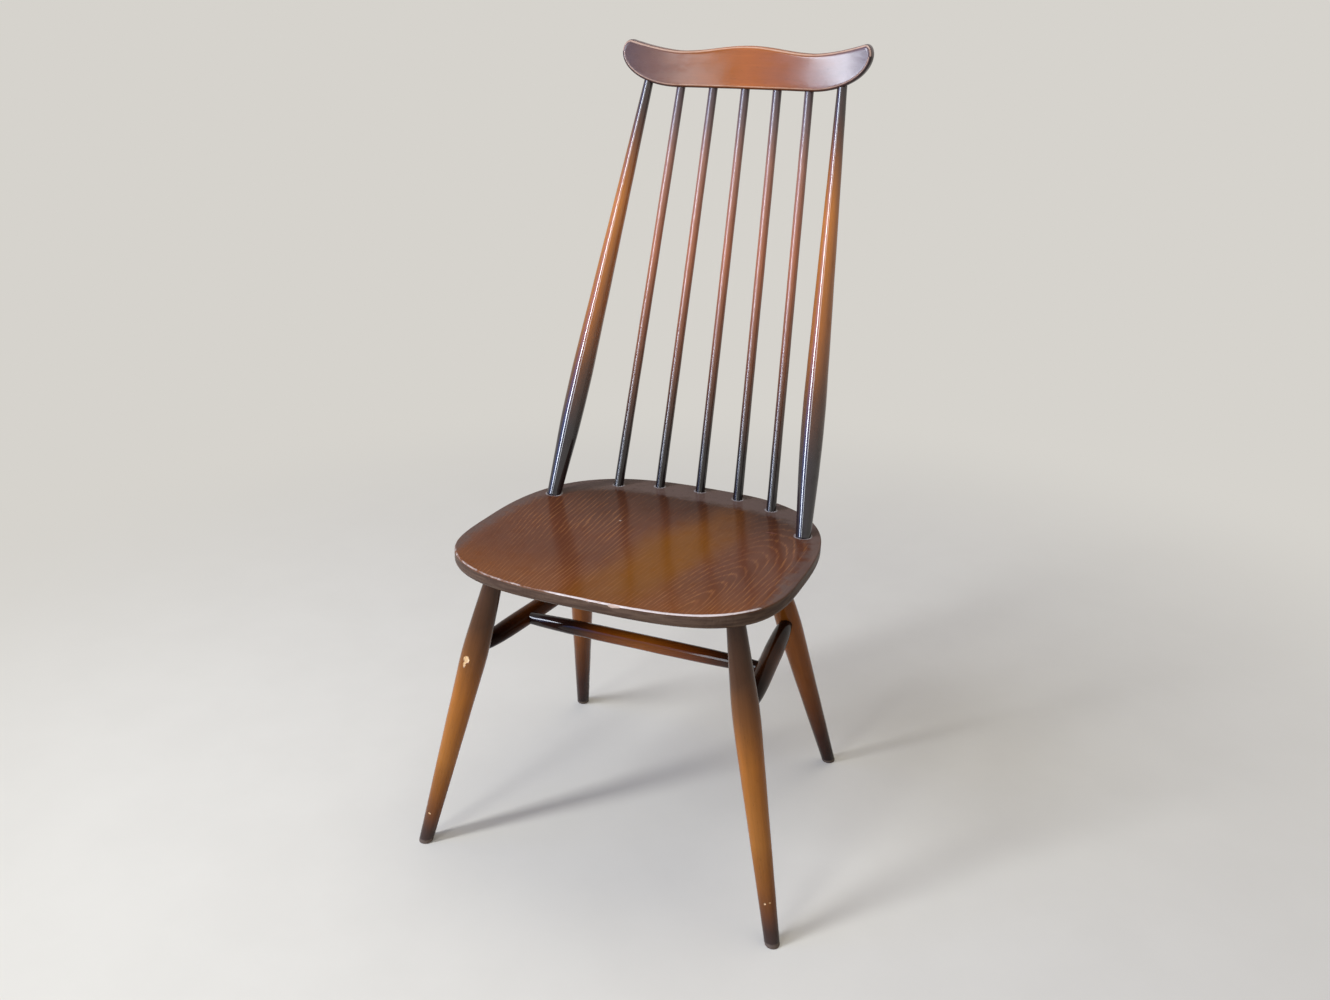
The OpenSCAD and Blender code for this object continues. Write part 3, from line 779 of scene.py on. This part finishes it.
def buildSeat():
    shape = seatShape
    matrix, half, front, back = seatFrame()
    count = shape["around"]
    arris, edgeWide, edgeTall = shape["arris"], shape["edgeWide"], shape["edgeTall"]

    def inset(by):
        return evenOutline(half - by, front - by, back - by, count)

    rows, rims, sides, corners = [], [], [], []

    def addRow(x, y, z, side, corner):
        rows.append(np.column_stack([x, y, z]))
        rims.append(smooth(hollowAway(x, y, half), *shape["rimEdge"]))
        sides.append(np.full(count, side))
        corners.append(np.full(count, corner))

    outX, outY = inset(arris)
    for share in np.concatenate([np.linspace(0.015, 0.7, 44), np.linspace(0.71, 0.995, 56)]):
        x, y = outX * share, outY * share
        addRow(x, y, -hollowDepth(x, y, half), 0.0, float(smooth(share, 0.985, 1.0)))
    for t in np.linspace(0, math.pi / 2, shape["arrisRows"]):
        x, y = inset(arris * (1 - math.sin(t)))
        addRow(x, y, -hollowDepth(x, y, half) - arris * (1 - math.cos(t)),
               0.5 * t / (math.pi / 2), 1.0)
    rimX, rimY = inset(0)
    drop = hollowDepth(rimX, rimY, half) + arris
    for share in np.linspace(0.15, 0.9, 6):
        addRow(rimX, rimY, -drop * (1 - share) - (shape["thick"] - edgeTall) * share, 1.0,
               1.0 - share)
    for t in np.linspace(0, math.pi / 2, shape["edgeRows"]):
        x, y = inset(edgeWide * (1 - math.cos(t)))
        addRow(x, y, np.full(count, -shape["thick"] + edgeTall * (1 - math.sin(t))), 1.0, 0.0)
    lowX, lowY = inset(edgeWide)
    for share in [0.985, 0.9, 0.75, 0.55, 0.3, 0.08]:
        addRow(lowX * share, lowY * share, np.full(count, -shape["thick"]), 1.0, 0.0)

    points = np.vstack(rows)
    side, rim, corner = (np.concatenate(part) for part in (sides, rims, corners))
    onTop = 1 - smooth(side, 0.0, 0.6)
    waves = 0.5 + waver(points, shape["waveGrain"], Vector((3, 1, 7)))
    points[:, 2] -= onTop * waves * shape["wave"]
    # the front arris is nibbled, and broken along one short stretch
    frontward = smooth(-points[:, 1], *shape["frontEdge"])
    nibble = waver(points, shape["nibbleGrain"], Vector((9, 2, 4)))
    broken = (smooth(points[:, 0], shape["chipFrom"] - 0.006, shape["chipFrom"] + 0.004)
              * (1 - smooth(points[:, 0], shape["chipTo"] - 0.03, shape["chipTo"])))
    jagged = np.clip(waver(points, shape["chipGrain"], Vector((5, 8, 1))) + 0.35, 0, 1)
    loss = corner * frontward * (np.clip(nibble, 0, 1) * shape["nibble"]
                                 + broken * jagged * shape["chipDeep"])
    outward = points[:, :2] / np.linalg.norm(points[:, :2], axis=1)[:, None]
    points[:, :2] -= outward * loss[:, None]
    points[:, 2] -= loss * 0.7 * (1 - smooth(side, 0.5, 1.0))
    bare = corner * frontward * broken * smooth(jagged, 0.45, 0.8)
    # the stretch of the front arris where the painted highlight over the worn finish is
    # strongest
    worn = (smooth(points[:, 0], *shape["wearHighlightFrom"])
            * (1 - smooth(points[:, 0], *shape["wearHighlightTo"])))
    rub = corner * (0.12 + frontward * (0.4 + 0.5 * worn)) * (1 - smooth(side, 0.35, 0.6))

    faces = [face[::-1] for face in gridFaces(len(rows), count)]
    topCentre = len(points)
    depth = float(hollowDepth(np.array([0.0]), np.array([0.0]), half)[0])
    points = np.vstack([points, [0, 0, -depth], [0, 0, -shape["thick"]]])
    lastRow = (len(rows) - 1) * count
    for i in range(count):
        j = (i + 1) % count
        faces.append((topCentre, i, j))
        faces.append((topCentre + 1, lastRow + j, lastRow + i))
    masks = {"rim": np.append(rim * (1 - side), [0, 0]), "side": np.append(side, [0, 1]),
             "bare": np.append(bare, [0, 0]), "rub": np.append(rub, [0, 0])}
    inward = matrix.inverted()
    bases = []
    sticks = ["back_post_left", "back_post_right"] + [f"back_spindle_{i}" for i in range(1, 6)]
    for name in sticks:
        radius = (postShape if "post" in name else spindleShape)["baseRadius"]
        bases.append({"at": tuple(inward @ stickLine(name)[0]), "radius": radius})
    makePiece("seat", points, faces, masks, seatFinish(bases), matrix)


crestShape = {
    "lean": math.radians(15), "thick": 0.018, "planRadius": 0.65,
    "midTall": 0.052, "dipTall": 0.0447, "tipTall": 0.0575, "dipAt": 0.088,
    "sweepLong": 0.077, "sweepTall": 0.044, "nose": 0.01, "edgeRadius": 0.005,
    "tipPower": 1.6, "stations": 220, "roundSteps": 9, "faceRows": 12,
    "outlinePoints": 6000, "waveGrain": 22, "wave": 0.0002,
    "upperRubHighlight": (0.85, 0.75, 0.4),    # worn arris lines painted pale as highlight: how much, at what turn of the roundover, and how wide
    "lowerRubHighlight": (0.8, 0.3, 0.22),
}


def quarterDrop(share):
    return 1 - np.sqrt(np.clip(1 - share * share, 0, 1))


def bell(value, height, middle, width):
    return height * math.exp(-((value - middle) / width) ** 2)


def crestOutline(half):
    # the rail seen from the front, as points at even spacing round it, and inward normals
    shape = crestShape
    tipX, flatX = half - shape["nose"], half - shape["sweepLong"]
    x = half * np.sin(np.linspace(-math.pi / 2, math.pi / 2, 4001))
    away = np.abs(x)
    low = shape["sweepTall"] * quarterDrop(np.clip(away - flatX, 0, None) / shape["sweepLong"])
    dip, dipAt, tip = shape["dipTall"], shape["dipAt"], shape["tipTall"]
    middle = ((shape["midTall"] + dip) / 2
              + (shape["midTall"] - dip) / 2 * np.cos(math.pi * away / dipAt))
    rise = np.clip((away - dipAt) / (tipX - dipAt), 0, 1)
    outer = dip + (tip - dip) * rise ** shape["tipPower"]
    fall = quarterDrop(np.clip((away - tipX) / shape["nose"], 0, 1))
    nose = tip - (tip - shape["sweepTall"]) * fall
    high = np.where(away < dipAt, middle, np.where(away < tipX, outer, nose))
    loop = np.vstack([np.column_stack([x, high]), np.column_stack([x, low])[::-1][1:]])
    run = np.concatenate([[0], np.cumsum(np.hypot(*np.diff(loop, axis=0).T))])
    wanted = np.linspace(0, run[-1], shape["outlinePoints"], endpoint=False)
    line = np.column_stack([np.interp(wanted, run, loop[:, 0]),
                            np.interp(wanted, run, loop[:, 1])])
    ahead = np.roll(line, -8, axis=0) - np.roll(line, 8, axis=0)
    ahead /= np.linalg.norm(ahead, axis=1)[:, None]
    return line, np.column_stack([ahead[:, 1], -ahead[:, 0]])


def crestEdges(line, inward, inset):
    # heights of the upper and lower edges of the outline moved in by inset, at shared stations
    moved = line + inward * inset
    left, right = moved[:, 0].argmin(), moved[:, 0].argmax()
    order = np.arange(len(moved))
    over = moved[(order - left) % len(moved) <= (right - left) % len(moved)]
    under = moved[(order - right) % len(moved) <= (left - right) % len(moved)]
    over, under = (part[part[:, 0].argsort()] for part in (over, under))
    turn = np.linspace(-math.pi / 2, math.pi / 2, crestShape["stations"] + 1)
    middle = (moved[left, 0] + moved[right, 0]) / 2
    x = middle + (moved[right, 0] - moved[left, 0]) / 2 * np.sin(turn)
    high = np.interp(x, over[:, 0], over[:, 1])
    low = np.interp(x, under[:, 0], under[:, 1])
    high[[0, -1]] = low[[0, -1]] = moved[[left, right], 1]
    return x, high, low


def buildCrest():
    shape = crestShape
    boxLow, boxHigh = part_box("crest_rail")
    half = (boxHigh.x - boxLow.x) / 2
    lean, thick, edge = shape["lean"], shape["thick"], shape["edgeRadius"]
    reach = ((shape["midTall"] - edge) * math.tan(lean)
             + (thick / 2 - edge) / math.cos(lean)
             + edge * math.hypot(math.tan(lean), 1 / math.cos(lean)))
    origin = Vector((0, boxHigh.y - reach, boxLow.z))
    line, inward = crestOutline(half)
    last = shape["stations"]
    rows, rubs, shadedUnders = [], [], []

    def addRow(x, h, behind, rub, under):
        rows.append(np.column_stack([x, h, np.full(len(x), behind)]))
        rubs.append(rub * np.ones(len(x)))
        shadedUnders.append(under)

    # roundover, from the front face over the edge to the back face, as closed rings
    turns = np.linspace(0, math.pi, 2 * shape["roundSteps"] + 1)
    for turn in turns:
        inset = edge * (1 - math.sin(turn))
        x, high, low = crestEdges(line, inward, inset)
        core = thick / 2 - edge
        behind = (-core if turn < math.pi / 2 else core) - edge * math.cos(turn)
        belly = np.concatenate([np.zeros(last + 1), np.ones(last - 1)])
        # upper and lower set the painted highlight lines along the arrises; the last value of
        # each row marks the lower roundover for its painted shade
        upper = bell(turn, *shape["upperRubHighlight"])
        lower = bell(turn, *shape["lowerRubHighlight"])
        addRow(np.concatenate([x, x[1:-1][::-1]]), np.concatenate([high, low[1:-1][::-1]]),
               behind, upper + (lower - upper) * belly,
               belly * float(smooth(math.sin(turn), 0.3, 0.75)))
    around = 2 * last
    faces = gridFaces(len(rows), around)
    # the two flat faces, each in rows from its upper edge to its lower
    for ring, behind in [(0, -thick / 2), (len(turns) - 1, thick / 2)]:
        x, high, low = crestEdges(line, inward, edge)
        start = sum(len(row) for row in rows)
        count = last - 1
        for r in range(1, shape["faceRows"]):
            share = r / shape["faceRows"]
            addRow(x[1:-1], high[1:-1] + (low[1:-1] - high[1:-1]) * share, behind, 0.0,
                   np.zeros(count))

        def corner(r, c):
            # index of the point in face row r, station c, counting the ring's own edge
            if r == 0 or c in (0, last):
                return ring * around + c
            if r == shape["faceRows"]:
                return ring * around + around - c
            return start + (r - 1) * count + c - 1

        for r in range(shape["faceRows"]):
            for c in range(last):
                quad = [corner(r, c), corner(r, c + 1), corner(r + 1, c + 1), corner(r + 1, c)]
                quad = list(dict.fromkeys(quad))
                faces.append(tuple(quad if ring else quad[::-1]))

    flat = np.vstack(rows)
    x, h, behind = flat.T
    sag = shape["planRadius"] - np.sqrt(shape["planRadius"] ** 2 - x * x)
    points = np.column_stack([x, -sag + h * math.tan(lean) + behind / math.cos(lean), h])
    points[:, 1] += waver(points, shape["waveGrain"], Vector((2, 6, 3))) * shape["wave"]
    makePiece("crest_rail", points, faces,
              {"rub": np.concatenate(rubs), "under": np.concatenate(shadedUnders)},
              crestFinish(), Matrix.Translation(origin))


buildSeat()
print("seat made")
buildLegs(turnedFinish("frontLegWood", frontLegStain),
          turnedFinish("backLegWood", backLegStain))
buildStretchers(turnedFinish("sideRailWood", sideRailStain),
                turnedFinish("crossRailWood", crossRailStain))
print("legs and stretchers made")
buildBack(turnedFinish("postWood", postStainAndSheen),
          turnedFinish("spindleWood", spindleStainAndHighlight))
buildCrest()
print("back made")


studio = {
    "floorHalf": 300.0,
    "floorColour": tint(224, 217, 203),
    "floorSpeckled": tint(221, 214, 200), "gritGrain": (7, 7, 7),
    "floorGlow": 0.1,                 # share of the floor that shows as plain white
    "fadeFrom": 0.5, "fadeTo": 1.7,
    "backdrop": tint(214, 211, 205),
    "skyColour": tint(238, 232, 222),
    "skyStrength": 0.3,
    "openingColour": tint(130, 164, 255), "openingStrength": 2.2,
    "openingBearing": 50, "openingRise": 24, "openingDim": 0.84, "openingBright": 0.99,
    "windowPowers": (82, 22), "windowBearings": (41, 13), "windowAway": 2.6,
    "windowRise": 1.88, "windowSize": (0.36, 2.6), "windowColour": (0.84, 0.91, 1.0),
    "overheadPower": 18, "overheadSize": 1.4, "overheadPlace": (0.3, 0.2, 3.0),
    "lampsAim": (0, 0, 0.45),
}


def seenDirectly(f):
    # 1 where the eye meets a surface itself, or in a gloss or glass
    seen = f.node("LightPath")
    outputs = seen.socket.node.outputs
    for ray in ["Is Glossy Ray", "Is Transmission Ray"]:
        seen = f.larger(seen, Wire(f, outputs[ray]))
    return seen


def buildFloor():
    material, f = newFinish("floorFinish")
    spot = f.node("TexCoord", out=3)
    grit = f.cloud(spot, studio["gritGrain"], 6.0, 0.6)
    colour = f.blend(f.between(grit, 0.3, 0.7), studio["floorColour"],
                     studio["floorSpeckled"])
    lit = f.surface(Base_Color=colour, Roughness=0.85, Specular_IOR_Level=0.2)
    direct = seenDirectly(f)
    glow = f.node("Emission", {}, {"Color": (1, 1, 1, 1), "Strength": 1.0})
    near = f.node("MixShader", {}, {0: direct * studio["floorGlow"], 1: lit, 2: glow})
    # the floor runs out into the backdrop
    away = f.node("VectorMath", {"operation": "LENGTH"}, {0: spot}, out=1)
    far = f.between(away, studio["fadeFrom"], studio["fadeTo"])
    plain = f.node("Emission", {}, {"Color": studio["backdrop"], "Strength": 1.0})
    f.close(f.node("MixShader", {}, {0: direct * far, 1: near, 2: plain}))
    half = studio["floorHalf"]
    mesh = bpy.data.meshes.new("floor")
    mesh.from_pydata([(-half, -half, 0), (half, -half, 0), (half, half, 0), (-half, half, 0)],
                     [], [(0, 1, 2, 3)])
    mesh.materials.append(material)
    floor = bpy.data.objects.new("floor", mesh)
    bpy.context.scene.collection.objects.link(floor)


def buildWorld():
    world = bpy.data.worlds.new("studioWorld")
    world.use_nodes = True
    bpy.context.scene.world = world
    f = Finish(world.node_tree)
    sky = f.node("Background", {}, {"Color": studio["skyColour"],
                                    "Strength": studio["skyStrength"]})
    pale = f.node("Background", {}, {"Color": studio["backdrop"], "Strength": 1.0})
    both = f.node("MixShader", {}, {0: seenDirectly(f), 1: sky, 2: pale})
    # one wide soft opening at the front left, which the lacquer mirrors and the eye doesn't see
    turn, rise = math.radians(studio["openingBearing"]), math.radians(studio["openingRise"])
    towards = (-math.sin(turn) * math.cos(rise), -math.cos(turn) * math.cos(rise),
               math.sin(rise))
    facing = f.node("VectorMath", {"operation": "DOT_PRODUCT"},
                    {0: f.node("TexCoord", out=0), 1: towards}, out=1)
    mirrored = 1 - f.node("LightPath")
    opening = f.between(facing, studio["openingDim"], studio["openingBright"]) * mirrored
    bright = f.node("Background", {}, {"Color": studio["openingColour"],
                                       "Strength": studio["openingStrength"]})
    f.close(f.node("MixShader", {}, {0: opening, 1: both, 2: bright}), "OutputWorld")


def addLamp(name, place, target, power, size, colour=(1, 1, 1)):
    lamp = bpy.data.lights.new(name, "AREA")
    lamp.shape = "RECTANGLE"
    lamp.size, lamp.size_y = size
    lamp.energy = power
    lamp.color = colour
    made = bpy.data.objects.new(name, lamp)
    made.location = place
    made.rotation_euler = (Vector(target) - Vector(place)).to_track_quat("-Z", "Y").to_euler()
    bpy.context.scene.collection.objects.link(made)


def buildLamps():
    # two tall windows at the front left, and a soft panel overhead
    aim = studio["lampsAim"]
    for i, (bearing, power) in enumerate(zip(studio["windowBearings"],
                                             studio["windowPowers"])):
        turn = math.radians(bearing)
        place = (-math.sin(turn) * studio["windowAway"],
                 -math.cos(turn) * studio["windowAway"], studio["windowRise"])
        addLamp(f"window{i + 1}", place, aim, power,
                studio["windowSize"], studio["windowColour"])
    size = studio["overheadSize"]
    addLamp("overhead", studio["overheadPlace"], aim, studio["overheadPower"], (size, size))


cameraView = {
    "place": (0.5304, -1.2980, 1.0073), "lens": 32.23, "sensor": 36,
    "yaw": math.radians(22.5), "pitch": math.radians(22.554), "roll": math.radians(0.556),
}


def buildCamera():
    view = cameraView
    yaw, pitch, roll = view["yaw"], view["pitch"], view["roll"]
    ahead = Vector((-math.sin(yaw) * math.cos(pitch), math.cos(yaw) * math.cos(pitch),
                    -math.sin(pitch)))
    level = ahead.cross(Vector((0, 0, 1))).normalized()
    upright = level.cross(ahead)
    right = level * math.cos(roll) + upright * math.sin(roll)
    up = upright * math.cos(roll) - level * math.sin(roll)
    data = bpy.data.cameras.new("camera")
    data.lens = view["lens"]
    data.sensor_width = view["sensor"]
    made = bpy.data.objects.new("camera", data)
    made.matrix_world = (Matrix.Translation(view["place"])
                         @ Matrix((right, up, -ahead)).transposed().to_4x4())
    bpy.context.scene.collection.objects.link(made)
    bpy.context.scene.camera = made


buildFloor()
buildWorld()
buildLamps()
buildCamera()
bpy.context.scene.view_settings.view_transform = "Standard"
print("studio made")
